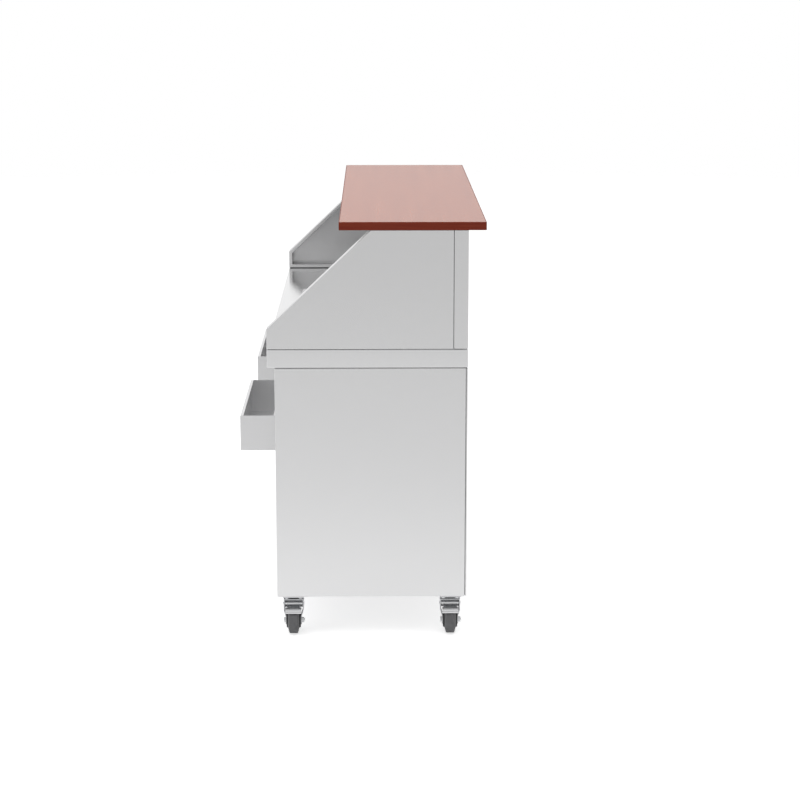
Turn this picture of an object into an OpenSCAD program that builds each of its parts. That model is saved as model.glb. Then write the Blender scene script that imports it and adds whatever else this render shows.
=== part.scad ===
// Mobile bar unit: a stainless cabinet on casters, with an ice well, a raised bar top and two speed rails.
// X runs along the bar, -Y is the service side, +Y is the guests' side, Z is up from the floor.

/* [Cabinet] */
// Length of the cabinet, end face to end face
body_length = 1500; // [1300:10:2000]
// Depth of the cabinet, service side to guests' side
cabinet_depth = 522; // [480:1:700]
// Height of the lower panels
carcass_height = 642.5; // [590:0.5:760]
// Thickness of the panel sheet
sheet = 1.2; // [0.8:0.1:1.6]
// Width of the folded returns on the lower end panels
panel_return = 30; // [20:1:40]
// Rise of the lower panels above the caster plates
panel_lift = 5; // [2:0.5:10]
// Depth of the folded edge on the lower guest panel
guest_edge = 3.5; // [2.5:0.1:6]
// Width of that folded edge
hem_width = 12; // [8:0.5:20]
// Width of the guest panel's top return
guest_return = 16; // [13:0.5:24]
// Seam between the guest panel and the end panels, filled by tape
panel_seam = 1.4; // [0.8:0.1:3]
// Gap between neighbouring folded edges
fold_gap = 0.8; // [0.5:0.1:1]

/* [Base] */
// Height of the base channels
channel_height = 30; // [24:1:45]
// Channel width left over behind the caster plates
channel_margin = 12; // [6:1:30]
// Thickness of the base sheet
deck_sheet = 1.5; // [1:0.1:2.5]
// Height of the turned-down deck edges
deck_flange = 20; // [10:1:23]
// Width of the partition flanges
partition_flange = 18; // [10:1:20]

/* [Service apron] */
// Height of apron below the speed rails
apron_below = 16; // [8:1:40]
// Depth of the apron's folded edges
apron_return = 25; // [15:1:40]

/* [Worktop] */
// Overhang of the worktop on the service side
worktop_overhang = 20; // [8:1:40]
// Height of the worktop's folded edge
worktop_edge = 50; // [30:1:70]
// Thickness of the worktop sheet
worktop_sheet = 1.5; // [1:0.1:2.5]
// Width of the lip below the folded edge
worktop_lip = 14; // [10:0.5:20]
// Width of the stiffening channels below the worktop
stiffener_width = 40; // [30:1:60]
// Thickness of the gaskets below and above the worktop
gasket = 1.5; // [0.8:0.1:3]
// Width of the gaskets
gasket_width = 10; // [6:0.5:10]
// Setback of the gaskets from the edges
gasket_inset = 2; // [1:0.5:4]

/* [Upper panels] */
// Height of the upper panels
gantry_height = 321.5; // [260:0.5:420]
// Upright stretch at the front of the upper end panels
slant_start = 55; // [30:1:90]
// Depth covered by the slanted edge
slant_run = 281; // [200:1:320]
// Thickness of the folded upper panels
gantry_depth = 38; // [30:1:50]
// Width of the lips on their inner faces
gantry_lip = 11; // [8:0.5:14]
// Seam between the upper panels
gantry_seam = 1.4; // [0.8:0.1:3]

/* [Bar top] */
// Depth of the bar top
bar_depth = 393; // [340:1:450]
// Thickness of the bar top
bar_thickness = 22; // [18:1:30]
// Overhang on the guests' side
bar_overhang = 47; // [20:1:80]
// Overhang at each end
bar_end_overhang = 6; // [2:0.5:30]
// Thickness of the edge banding
bar_edging = 2; // [0.6:0.1:3]
// Width of the bearer below the bar top
bearer_width = 40; // [30:1:60]
// Height of that bearer
bearer_height = 30; // [20:1:45]
// Setback of the bearer from the top of the slanted edge
bearer_inset = 14; // [5:1:40]
// Diameter of the bar top screws
screw_d = 4; // [3:0.5:6]

/* [Ice well] */
// Inside length of the ice well
bin_length = 522; // [400:1:640]
// Inside width of the ice well
bin_width = 320; // [240:1:360]
// Depth of the ice well below the worktop
bin_depth = 200; // [140:1:260]
// Corner radius of the ice well
bin_corner = 20; // [10:1:60]
// Width of the flange on the worktop
bin_flange = 15; // [8:1:25]
// Height of the rim above the worktop
rim_height = 4; // [3:0.5:10]
// Thickness of the insulation boards
insulation = 25; // [15:1:35]
// Gap from the apron to the insulation
bin_front_gap = 7.6; // [4:0.1:20]
// Overlap of the half lid past the middle of the well
lid_overlap = 10; // [4:1:30]
// Diameter of the lid knob
knob_d = 28; // [20:1:40]
// Height of the lid knob
knob_height = 24; // [18:1:35]
// Outside diameter of the drain pipe
drain_d = 30; // [22:1:40]

/* [Speed rails] */
// Length of each speed rail
rail_length = 480; // [320:10:540]
// Reach of the rails in front of the cabinet
rail_reach = 100; // [85:1:130]
// Height of the rails
rail_height = 98; // [70:1:130]
// Drop of the rails below the top of the cabinet
rail_drop = 150; // [100:1:200]
// Distance from the cabinet's end to the rail
rail_end_inset = 90; // [60:1:98]
// Width of the lip on the rails' front edge
rail_lip = 9; // [5:0.5:15]
// Thickness of the hanger strips
hanger_sheet = 1.5; // [1:0.1:2.5]

/* [Casters] */
// Diameter of the wheels
wheel_d = 75; // [60:1:90]
// Width of the tyres beside the hub
wheel_w = 32; // [26:1:40]
// Width of the tread, where the tyre's tapered sides end
tread_w = 23; // [18:1:25]
// Bevel between the tread and the sides
tyre_bevel = 1.5; // [0.5:0.5:3]
// Height from the top of a wheel to the mounting face
caster_headroom = 31; // [29:1:45]
// Offset of the axle from the swivel axis
caster_trail = 30; // [24:1:40]
// Length of the caster plates, along the bar
plate_length = 76; // [66:1:100]
// Width of the caster plates
plate_width = 58; // [58:1:84]
// Thickness of the caster plates
plate_thick = 3; // [2:0.5:5]
// Distance from the cabinet's end to the plates
caster_inset = 14; // [6:1:40]
// Distance from the cabinet's sides to the plates
caster_side_inset = 15; // [8:1:25]
// Thickness of the fork sheet
fork_sheet = 2.5; // [2:0.1:3.5]
// Gap from the brake pedal to the tyre
brake_gap = 4; // [4:0.5:6]

/* [Hidden] */
$fn = 64;
cut = 1;

// Clearances
running_fit = 0.05;
pin_fit = 0.3;
board_fit = 0.2;
lid_gap = 0.3;

// Places along and across the cabinet
half_length = body_length / 2;
x_in = half_length - sheet;
x_between = half_length - panel_return - fold_gap;
total_depth = rail_reach + cabinet_depth + bar_overhang;
y_front = rail_reach - total_depth / 2;
y_rear = y_front + cabinet_depth;
y_return = y_rear - guest_edge - panel_seam;
y_work = y_front - worktop_overhang;

// Levels above the floor
caster_height = wheel_d + caster_headroom;
z_deck = caster_height + channel_height;
z_panel = caster_height + panel_lift;
z_carcass = z_panel + carcass_height;
z_skirt = z_carcass + gasket;
z_work = z_skirt + worktop_edge;
z_gantry = z_work + gasket;
z_bar = z_gantry + gantry_height;
z_top = z_bar + bar_thickness;

// Upper end panel, outline in Y and Z
y_end = y_rear - gantry_depth - gantry_seam;
y_slant = y_work + slant_run;
end_outline = [
    [y_work, z_gantry],
    [y_end, z_gantry],
    [y_end, z_bar],
    [y_slant, z_bar],
    [y_work, z_gantry + slant_start]
];

// Bar top and its screws
x_board = half_length + bar_end_overhang - bar_edging;
y_bar_rear = y_rear + bar_overhang;
y_bar_front = y_bar_rear - bar_depth;
y_bearer = y_slant + bearer_inset;
screw_grip_share = 0.6;
screw_grip = bar_thickness * screw_grip_share;
screw_head_share = 0.6;
panel_screw_shares = [0.3, 0.8];
bearer_screw_share = 0.4;
screw_places = concat(
    [for (end = [-1, 1], along = panel_screw_shares)
        [end * (half_length - gantry_depth / 2), y_slant + along * (y_end - y_slant)]],
    [for (end = [-1, 1], y = [y_bearer + bearer_width / 2, y_rear - gantry_depth / 2])
        [end * half_length * bearer_screw_share, y]]
);

// Ice well
wall_gap = sheet + board_fit;
y_bin = y_front + apron_return + bin_front_gap + insulation + wall_gap + bin_width / 2;
z_floor = z_work - bin_depth;
z_rim = z_work + rim_height;
z_tail = z_floor - wall_gap - insulation;
x_boards = bin_length / 2 + wall_gap + insulation;
y_boards = bin_width / 2 + wall_gap + insulation;
partition_gap = 4;
partition_x = x_boards + stiffener_width / 2 + partition_gap;

// Half lid of the ice well
lid_plate_low = z_rim + lid_gap;
lid_x_high = bin_length / 2 + bin_flange / 3;
lid_half_width = bin_width / 2 + sheet + lid_gap + sheet;
knob_stem_d = knob_d / 3;
knob_head_share = 0.55;
knob_round_share = 0.25;

// Drain and its valve
drain_wall = 3;
drain_flange_rim = 11;
drain_flange_thick = 2;
drain_tail = 20;
valve_wall = 4;
valve_body_wall = 9;
valve_body_height = 44;
valve_outlet = 34;
valve_boss_d = 18;
valve_boss_reach = 8;
stem_d = 8;
stem_head_d = 14;
stem_head_thick = 3;
lever_thick = 3;
lever_width = 16;
lever_length = 95;
valve_radius = drain_d / 2 + valve_body_wall;
z_collar = z_tail - drain_tail;
z_stem = z_collar - valve_body_height / 2;
y_boss = y_bin - valve_radius - valve_boss_reach;

// Speed rails and their hangers
rail_x_low = half_length - rail_end_inset - rail_length;
z_rail_top = z_carcass - rail_drop;
z_rail_low = z_rail_top - rail_height;
z_apron = z_rail_low - apron_below;
y_rail_out = y_front - rail_reach;
hook_clear = 0.8;
hook_play = 1.5;
hook_room = 3;
hook_drop = 9;
hook_lift = 0.3;
foot_gap = 0.3;
upstand = 12;
hanger_base = 22;
hanger_inset = 20;
y_hook = y_front - hook_clear - sheet;
y_upstand = y_hook - hook_play - hanger_sheet;
y_rail_back = y_upstand - hook_room;
z_ledge = z_rail_top - sheet - hook_lift - upstand;
rivet_d = 4;
rivet_head_d = 8;
rivet_head = 1.2;
rivet_shares = [0.1, 0.5, 0.9];
rivet_places = [for (end = [-1, 1], along = rivet_shares)
    end * (rail_x_low + hanger_inset + along * (rail_length - 2 * hanger_inset))];
z_rivet = z_ledge - hanger_base / 2;

// Casters, in a frame with the swivel axis at X = 0 and the wheel trailing towards +X
x_kingpin = half_length - caster_inset - plate_length / 2;
y_caster_front = y_front + caster_side_inset + plate_width / 2;
y_caster_rear = y_rear - caster_side_inset - plate_width / 2;
caster_places = [for (end = [-1, 1], y = [y_caster_front, y_caster_rear]) [end * x_kingpin, y]];
bolt_edge = 10;
bolt_d = 6;
bolt_head_d = 10;
bolt_head = 4;
bolt_nut = 5;
bolt_places = [for (side = [-1, 1], across = [-1, 1])
    [side * (plate_length / 2 - bolt_edge), across * (plate_width / 2 - bolt_edge)]];
race_d = 48;
race_height = 4;
race_space = 3;
crown_d = 55;
shoulder_rise = 12;
shoulder_height = 16;
crown_back = 16;
kingpin_d = 12;
kingpin_head_d = 20;
kingpin_head = 3;
seal_d = 44;
seal_bore_d = 26;
guard_thick = 3.5;
guard_bevel = 1;
hub_space = 0.3;
hub_cup = 5;
hub_rim = 3;
hub_boss_d = 20;
tyre_wall_share = 0.42;
axle_d = 8;
axle_head_d = 15;
axle_head = 5;
axle_nut = 6.5;
axle_tail = 2;
axle_land_d = 26;
pedal_sheet = 2.5;
pedal_side = 1;
pedal_eye_d = 10;
pedal_pin_d = 5;
pedal_pin_rise = 1.6;
pedal_pin_angle = 103;
pedal_tip_angle = 43;
pedal_lip_d = 5;
pedal_flare_angle = 68;
leg_margin = 9;
wheel_r = wheel_d / 2;
axle_at = [caster_trail, wheel_r];
z_plate = caster_height - plate_thick;
z_race = z_plate - race_height;
z_crown_top = z_race - race_space;
z_crown = z_crown_top - fork_sheet;
z_kingpin_head = z_crown - pin_fit;
hub_half = wheel_w / 2 + guard_thick;
fork_in = hub_half + hub_space;
fork_out = fork_in + fork_sheet;
tyre_bore_r = wheel_r * (1 - tyre_wall_share);
hub_r = tyre_bore_r - running_fit;
guard_r = tyre_bore_r;
pedal_in_r = wheel_r + brake_gap;
pedal_out_r = pedal_in_r + pedal_sheet;
pedal_pin_r = pedal_out_r + pedal_pin_rise;
pin_at = axle_at + pedal_pin_r * [cos(pedal_pin_angle), sin(pedal_pin_angle)];
pedal_half_width = fork_in - pedal_side;
pedal_eye_half = crown_d / 2 - fork_sheet - pedal_side;
pedal_lip_r = pedal_in_r + pedal_lip_d / 2;
pedal_lip_at = axle_at + pedal_lip_r * [cos(pedal_tip_angle), sin(pedal_tip_angle)];
z_shoulder = wheel_r + shoulder_rise;
z_crown_rim = z_shoulder + shoulder_height;
yoke_outline = [
    [-fork_out, 0],
    [fork_out, 0],
    [fork_out, z_shoulder],
    [crown_d / 2, z_crown_rim],
    [crown_d / 2, z_crown_top],
    [-crown_d / 2, z_crown_top],
    [-crown_d / 2, z_crown_rim],
    [-fork_out, z_shoulder]
];
leg_outline = [
    [-crown_back, z_crown_top],
    [-crown_back, z_crown - fork_sheet],
    [caster_trail - axle_land_d / 2, wheel_r],
    [caster_trail + axle_land_d / 2, wheel_r],
    [pin_at[0] + leg_margin, pin_at[1]],
    [pin_at[0] + leg_margin, z_crown_top]
];

// Shared shapes
module block(low, high) {
    translate(low) cube(high - low);
}

// A flat outline in Y and Z, extruded along X
module along_x(from, length) {
    translate([from, 0, 0]) rotate([90, 0, 90]) linear_extrude(length) children();
}

// A flat outline in X and Z, extruded along Y on both sides of Y = 0
module across_y(width) {
    rotate([90, 0, 0]) linear_extrude(width, center = true) children();
}

// A round bar along Y, on both sides of Y = 0
module bar_y(at, d, width) {
    translate([at[0], 0, at[1]]) rotate([90, 0, 0]) cylinder(d = d, h = width, center = true);
}

module rounded_rect(length, width, radius) {
    square([length - 2 * radius, width], center = true);
    square([length, width - 2 * radius], center = true);
    for (side = [-1, 1], across = [-1, 1])
        translate([side * (length / 2 - radius), across * (width / 2 - radius)]) circle(radius);
}

// The well's outline, grown by a margin, between two levels
module well_block(margin, low, high) {
    translate([0, y_bin, low]) linear_extrude(high - low)
        rounded_rect(bin_length + 2 * margin, bin_width + 2 * margin, bin_corner + margin);
}

module at_end(end) {
    if (end < 0) mirror([1, 0, 0]) children();
    else children();
}

module at_caster(end, y) {
    translate([end * x_kingpin, y, 0]) at_end(end) children();
}

function line_cross(p, u, q, v) =
    let (along = ((q[0] - p[0]) * v[1] - (q[1] - p[1]) * v[0]) / (u[0] * v[1] - u[1] * v[0]))
    p + along * u;

// A counter-clockwise outline drawn in by a distance
function inset(outline, by) = [
    for (i = [0:len(outline) - 1])
        let (
            n = len(outline),
            before = outline[(i + n - 1) % n],
            after = outline[(i + 1) % n],
            u = (outline[i] - before) / norm(outline[i] - before),
            v = (after - outline[i]) / norm(after - outline[i])
        )
        line_cross(before + by * [-u[1], u[0]], u, after + by * [-v[1], v[0]], v)
];

// The strip of a given width along one side of an outline, mitred with a gap at its ends
function side_strip(outline, i, width, gap) =
    let (
        j = (i + 1) % len(outline),
        inner = inset(outline, width),
        trim = gap / 2 * (outline[j] - outline[i]) / norm(outline[j] - outline[i])
    )
    [outline[i] + trim, outline[j] - trim, inner[j] - trim, inner[i] + trim];

// Half width of a caster fork at a height
function fork_half(z) =
    let (share = (z - z_shoulder) / (z_crown_rim - z_shoulder))
    fork_out + min(1, max(0, share)) * (crown_d / 2 - fork_out);

// Base
module caster_bolt_holes() {
    for (place = caster_places, bolt = bolt_places)
        translate([place[0] + bolt[0], place[1] + bolt[1], z_plate - cut])
            cylinder(d = bolt_d + 2 * pin_fit, h = plate_thick + deck_sheet + 2 * cut);
}

module base_channel(y_low, y_high) {
    x_end = half_length - caster_inset;
    color("silver") difference() {
        block([-x_end, y_low, caster_height], [x_end, y_high, z_deck]);
        block([-x_end - cut, y_low + deck_sheet, caster_height + deck_sheet],
            [x_end + cut, y_high - deck_sheet, z_deck + cut]);
        caster_bolt_holes();
    }
}

module base_channel_front() {
    base_channel(y_front + sheet + deck_sheet, y_caster_front + plate_width / 2 + channel_margin);
}

module base_channel_rear() {
    base_channel(y_caster_rear - plate_width / 2 - channel_margin, y_return - sheet - deck_sheet);
}

module base_deck() {
    y_low = y_front + sheet;
    y_high = y_return - sheet;
    color("silver") {
        block([-x_in, y_low, z_deck], [x_in, y_high, z_deck + deck_sheet]);
        block([-x_in, y_low, z_deck - deck_flange], [x_in, y_low + deck_sheet, z_deck + deck_sheet]);
        block([-x_in, y_high - deck_sheet, z_deck - deck_flange], [x_in, y_high, z_deck + deck_sheet]);
    }
}

// Lower panels
module lower_end_panel(end) {
    x_return = half_length - panel_return;
    color("gainsboro") at_end(end) {
        block([x_in, y_front, z_panel], [half_length, y_return, z_carcass]);
        block([x_return, y_front, z_panel], [half_length, y_front + sheet, z_carcass]);
        block([x_return, y_return - sheet, z_panel], [half_length, y_return, z_carcass]);
        block([x_return, y_front, z_carcass - sheet], [half_length, y_return, z_carcass]);
    }
}

module lower_guest_panel() {
    color("gainsboro") {
        difference() {
            block([-half_length, y_rear - guest_edge, z_panel], [half_length, y_rear, z_carcass]);
            block([hem_width - half_length, y_rear - guest_edge - cut, z_panel + hem_width],
                [half_length - hem_width, y_rear - sheet, z_carcass - hem_width]);
        }
        block([-x_between, y_rear - guest_return, z_carcass - sheet], [x_between, y_rear, z_carcass]);
    }
}

module guest_panel_tape() {
    x_outer = half_length - gasket_inset;
    color("dimgray") for (end = [-1, 1]) at_end(end)
        block([x_outer - gasket_width, y_return, z_panel + gasket_inset],
            [x_outer, y_rear - guest_edge, z_carcass - gasket_inset]);
}

module partition(end) {
    y_low = y_front + apron_return;
    y_high = y_rear - guest_return;
    z_low = z_deck + deck_sheet;
    x_flange = partition_x + partition_flange;
    color("silver") at_end(end) {
        block([partition_x, y_low, z_low], [partition_x + sheet, y_high, z_carcass]);
        block([partition_x, y_low, z_low], [x_flange, y_high, z_low + sheet]);
        block([partition_x, y_low, z_carcass - sheet], [x_flange, y_high, z_carcass]);
    }
}

module service_apron() {
    color("gainsboro") difference() {
        block([-x_between, y_front, z_apron], [x_between, y_front + apron_return, z_carcass]);
        block([sheet - x_between, y_front + sheet, z_apron + sheet],
            [x_between - sheet, y_front + apron_return + cut, z_carcass - sheet]);
        for (x = rivet_places)
            translate([x, y_front, z_rivet]) rotate([90, 0, 0])
                cylinder(d = rivet_d, h = 2 * (sheet + cut), center = true);
    }
}

// Worktop
module carcass_gasket() {
    x_outer = half_length - gasket_inset;
    y_outer = y_rear - gasket_inset;
    x_rear = x_between - gasket_inset;
    color("dimgray") {
        for (end = [-1, 1]) at_end(end)
            block([x_outer - gasket_width, y_front + gasket_inset, z_carcass],
                [x_outer, y_return - gasket_inset, z_skirt]);
        block([-x_rear, y_outer - gasket_width, z_carcass], [x_rear, y_outer, z_skirt]);
    }
}

module worktop() {
    color("whitesmoke") difference() {
        block([-half_length, y_work, z_skirt], [half_length, y_rear, z_work]);
        block([worktop_sheet - half_length, y_work + worktop_sheet, z_skirt + worktop_sheet],
            [half_length - worktop_sheet, y_rear - worktop_sheet, z_work - worktop_sheet]);
        block([worktop_lip - half_length, y_work + worktop_lip, z_skirt - cut],
            [half_length - worktop_lip, y_rear - worktop_lip, z_skirt + worktop_sheet + cut]);
        well_block(sheet + pin_fit, z_work - worktop_sheet - cut, z_work + cut);
    }
}

module worktop_stiffeners() {
    y_low = y_work + worktop_lip + fold_gap;
    y_high = y_rear - worktop_lip - fold_gap;
    x_low = partition_x - stiffener_width / 2;
    x_high = partition_x + stiffener_width / 2;
    z_high = z_work - worktop_sheet;
    color("silver") for (end = [-1, 1]) at_end(end) difference() {
        block([x_low, y_low, z_carcass], [x_high, y_high, z_high]);
        block([x_low + sheet, y_low - cut, z_carcass + sheet],
            [x_high - sheet, y_high + cut, z_high + cut]);
    }
}

// Upper panels
module gantry_gasket() {
    x_outer = half_length - gasket_inset;
    y_outer = y_rear - gasket_inset;
    color("dimgray") {
        for (end = [-1, 1]) at_end(end) {
            block([x_outer - gasket_width, y_work + gasket_inset, z_work],
                [x_outer, y_end - gasket_inset, z_gantry]);
            block([x_outer - gasket_width, y_end, z_gantry + gasket_inset],
                [x_outer, y_rear - gantry_depth, z_bar - gasket_inset]);
        }
        block([-x_outer, y_outer - gasket_width, z_work], [x_outer, y_outer, z_gantry]);
    }
}

module screw_holes() {
    for (place = screw_places)
        translate([place[0], place[1], z_bar - sheet - cut])
            cylinder(d = screw_d + 2 * pin_fit, h = sheet + 2 * cut);
}

// Flat outer sheet of a gantry end
module upper_end_panel(end) {
    color("gainsboro") at_end(end)
        along_x(half_length - sheet, sheet) polygon(end_outline);
}

// Angle strips behind the sheet's edges, mitred at the corners; the top strip takes the bar top's screws
module upper_end_frame(end) {
    x_low = half_length - gantry_depth;
    color("gainsboro") difference() {
        at_end(end) for (i = [0:len(end_outline) - 1]) {
            along_x(x_low, gantry_depth - sheet) polygon(side_strip(end_outline, i, sheet, fold_gap));
            along_x(x_low, sheet) polygon(side_strip(end_outline, i, gantry_lip, fold_gap));
        }
        screw_holes();
    }
}

module upper_guest_panel() {
    y_low = y_rear - gantry_depth;
    color("gainsboro") difference() {
        block([-half_length, y_low, z_gantry], [half_length, y_rear, z_bar]);
        block([sheet - half_length, y_low + sheet, z_gantry + sheet],
            [half_length - sheet, y_rear - sheet, z_bar - sheet]);
        block([gantry_lip - half_length, y_low - cut, z_gantry + gantry_lip],
            [half_length - gantry_lip, y_low + sheet + cut, z_bar - gantry_lip]);
        screw_holes();
    }
}

// Bar top
module bar_top_bearer() {
    x_high = half_length - gantry_depth;
    z_low = z_bar - bearer_height;
    color("silver") difference() {
        block([-x_high, y_bearer, z_low], [x_high, y_bearer + bearer_width, z_bar]);
        block([-x_high - cut, y_bearer + sheet, z_low - cut],
            [x_high + cut, y_bearer + bearer_width - sheet, z_bar - sheet]);
        screw_holes();
    }
}

module bar_top() {
    color("sienna") difference() {
        block([-x_board, y_bar_front + bar_edging, z_bar], [x_board, y_bar_rear - bar_edging, z_top]);
        for (place = screw_places)
            translate([place[0], place[1], z_bar - cut])
                cylinder(d = screw_d + 2 * running_fit, h = screw_grip + cut + pin_fit);
    }
}

module bar_top_edging() {
    x_outer = x_board + bar_edging;
    y_low = y_bar_front + bar_edging;
    y_high = y_bar_rear - bar_edging;
    color("saddlebrown") {
        block([-x_outer, y_bar_front, z_bar], [x_outer, y_low, z_top]);
        block([-x_outer, y_high, z_bar], [x_outer, y_bar_rear, z_top]);
        for (end = [-1, 1]) at_end(end)
            block([x_board, y_low, z_bar], [x_outer, y_high, z_top]);
    }
}

module bar_top_screws() {
    head = screw_d * screw_head_share;
    color("silver") for (place = screw_places) translate([place[0], place[1], z_bar - sheet]) {
        translate([0, 0, -head]) cylinder(d = 2 * screw_d, h = head);
        cylinder(d = screw_d, h = sheet + screw_grip);
    }
}

// Ice well
module ice_bin() {
    color("lightgray") difference() {
        union() {
            well_block(sheet, z_floor - sheet, z_rim);
            well_block(sheet + bin_flange, z_work, z_work + sheet);
        }
        well_block(0, z_floor, z_rim + cut);
        translate([0, y_bin, z_floor - sheet - cut])
            cylinder(d = drain_d + 2 * pin_fit, h = sheet + 2 * cut);
    }
}

module ice_bin_insulation() {
    z_low = z_floor - wall_gap;
    z_high = z_work - worktop_sheet - board_fit;
    x_wall = bin_length / 2 + wall_gap;
    y_wall = bin_width / 2 + wall_gap;
    color("wheat") translate([0, y_bin, 0]) {
        for (side = [-1, 1]) mirror([0, side < 0 ? 1 : 0, 0])
            block([-x_boards, y_wall, z_low], [x_boards, y_boards, z_high]);
        for (end = [-1, 1]) at_end(end)
            block([x_wall, board_fit - y_wall, z_low], [x_boards, y_wall - board_fit, z_high]);
        difference() {
            block([-x_boards, -y_boards, z_tail], [x_boards, y_boards, z_low - board_fit]);
            translate([0, 0, z_tail - cut]) cylinder(d = drain_d + 2 * pin_fit, h = insulation + 2 * cut);
        }
    }
}

module ice_bin_lid() {
    x_low = -lid_overlap;
    z_guide = z_work + sheet + lid_gap;
    color("gainsboro") translate([0, y_bin, 0]) difference() {
        block([x_low, -lid_half_width, z_guide], [lid_x_high, lid_half_width, lid_plate_low + sheet]);
        block([x_low - cut, sheet - lid_half_width, z_guide - cut],
            [lid_x_high + cut, lid_half_width - sheet, lid_plate_low]);
    }
}

module ice_bin_lid_knob() {
    head = knob_height * knob_head_share;
    rounding = knob_height * knob_round_share;
    z_low = lid_plate_low + sheet;
    color("black") translate([(lid_x_high - lid_overlap) / 2, y_bin, z_low]) {
        cylinder(d = knob_stem_d, h = knob_height - head);
        translate([0, 0, knob_height - head]) rotate_extrude() {
            square([knob_d / 2, head - rounding]);
            square([knob_d / 2 - rounding, head]);
            translate([knob_d / 2 - rounding, head - rounding]) circle(rounding);
        }
    }
}

// Drain
module drain_fitting() {
    color("silver") translate([0, y_bin, 0]) difference() {
        union() {
            translate([0, 0, z_floor]) cylinder(d = drain_d + 2 * drain_flange_rim, h = drain_flange_thick);
            translate([0, 0, z_collar]) cylinder(d = drain_d, h = z_floor - z_collar);
        }
        translate([0, 0, z_collar - cut])
            cylinder(d = drain_d - 2 * drain_wall, h = z_floor - z_collar + drain_flange_thick + 2 * cut);
    }
}

module drain_valve() {
    bore = drain_d - 2 * drain_wall;
    z_body = z_collar - valve_body_height;
    stem_length = lever_thick + 2 * pin_fit;
    color("goldenrod") translate([0, y_bin, 0]) {
        difference() {
            union() {
                translate([0, 0, z_collar]) cylinder(d = drain_d + 2 * valve_wall, h = drain_tail);
                translate([0, 0, z_body]) cylinder(r = valve_radius, h = valve_body_height);
                translate([0, 0, z_body - valve_outlet]) cylinder(d = drain_d, h = valve_outlet);
                translate([0, y_boss - y_bin, z_stem]) rotate([-90, 0, 0])
                    cylinder(d = valve_boss_d, h = valve_radius + valve_boss_reach - bore / 2 - drain_wall);
            }
            translate([0, 0, z_body - valve_outlet - cut])
                cylinder(d = bore, h = valve_outlet + valve_body_height + 2 * cut);
            translate([0, 0, z_collar]) cylinder(d = drain_d + 2 * running_fit, h = drain_tail + cut);
        }
        translate([0, y_boss - y_bin, z_stem]) rotate([90, 0, 0]) {
            cylinder(d = stem_d, h = stem_length + stem_head_thick);
            translate([0, 0, stem_length]) cylinder(d = stem_head_d, h = stem_head_thick);
        }
    }
}

module drain_valve_lever() {
    color("firebrick") translate([0, y_boss - pin_fit, z_stem]) rotate([90, 0, 0]) difference() {
        linear_extrude(lever_thick) {
            circle(d = valve_boss_d);
            translate([-lever_width / 2, -lever_length]) square([lever_width, lever_length]);
            translate([0, -lever_length]) circle(d = lever_width);
        }
        translate([0, 0, -cut]) cylinder(d = stem_d + 2 * running_fit, h = lever_thick + 2 * cut);
    }
}

// Speed rails
module speed_rail(end) {
    x_low = rail_x_low;
    x_high = rail_x_low + rail_length;
    y_back = y_rail_back - sheet;
    color("gainsboro") at_end(end) {
        difference() {
            block([x_low, y_rail_out, z_rail_low], [x_high, y_rail_back, z_rail_top]);
            block([x_low + sheet, y_rail_out + sheet, z_rail_low + sheet],
                [x_high - sheet, y_back, z_rail_top + cut]);
        }
        block([x_low, y_rail_out, z_rail_top - sheet], [x_high, y_rail_out + rail_lip, z_rail_top]);
        block([x_low, y_back, z_rail_low], [x_high, y_front - foot_gap, z_rail_low + sheet]);
        block([x_low, y_back, z_rail_top - sheet], [x_high, y_hook + sheet, z_rail_top]);
        block([x_low, y_hook, z_rail_top - hook_drop], [x_high, y_hook + sheet, z_rail_top]);
        // Cheeks that reach back to the cabinet and close the hook at both ends
        for (x = [x_low, x_high - sheet])
            block([x, y_back, z_rail_low], [x + sheet, y_front - foot_gap, z_rail_top]);
    }
}

module rail_hangers() {
    x_low = rail_x_low + hanger_inset;
    x_high = rail_x_low + rail_length - hanger_inset;
    color("silver") difference() {
        for (end = [-1, 1]) at_end(end) {
            block([x_low, y_front - hanger_sheet, z_ledge - hanger_base],
                [x_high, y_front, z_ledge + hanger_sheet]);
            block([x_low, y_upstand, z_ledge], [x_high, y_front, z_ledge + hanger_sheet]);
            block([x_low, y_upstand, z_ledge], [x_high, y_upstand + hanger_sheet, z_ledge + upstand]);
        }
        for (x = rivet_places)
            translate([x, y_front - hanger_sheet / 2, z_rivet]) rotate([90, 0, 0])
                cylinder(d = rivet_d, h = hanger_sheet + 2 * cut, center = true);
    }
}

module hanger_rivets() {
    grip = hanger_sheet + sheet;
    color("silver") for (x = rivet_places)
        translate([x, y_front + sheet, z_rivet]) rotate([90, 0, 0]) {
            cylinder(d = rivet_d, h = grip);
            translate([0, 0, -rivet_head]) cylinder(d = rivet_head_d, h = rivet_head);
            translate([0, 0, grip]) cylinder(d = rivet_head_d, h = rivet_head);
        }
}

// Casters
module caster_plates() {
    color("lightsteelblue") difference() {
        for (place = caster_places) translate([place[0], place[1], 0]) {
            translate([-plate_length / 2, -plate_width / 2, z_plate])
                cube([plate_length, plate_width, plate_thick]);
            translate([0, 0, z_race]) cylinder(d = race_d, h = race_height);
            translate([0, 0, z_kingpin_head - kingpin_head])
                cylinder(d = kingpin_d, h = z_race - z_kingpin_head + kingpin_head);
            translate([0, 0, z_kingpin_head - kingpin_head])
                cylinder(d = kingpin_head_d, h = kingpin_head);
        }
        caster_bolt_holes();
    }
}

module caster_seals() {
    color("dimgray") for (place = caster_places)
        translate([place[0], place[1], z_crown_top + pin_fit]) difference() {
            cylinder(d = seal_d, h = race_space - pin_fit);
            translate([0, 0, -cut]) cylinder(d = seal_bore_d, h = race_space + 2 * cut);
        }
}

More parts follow.
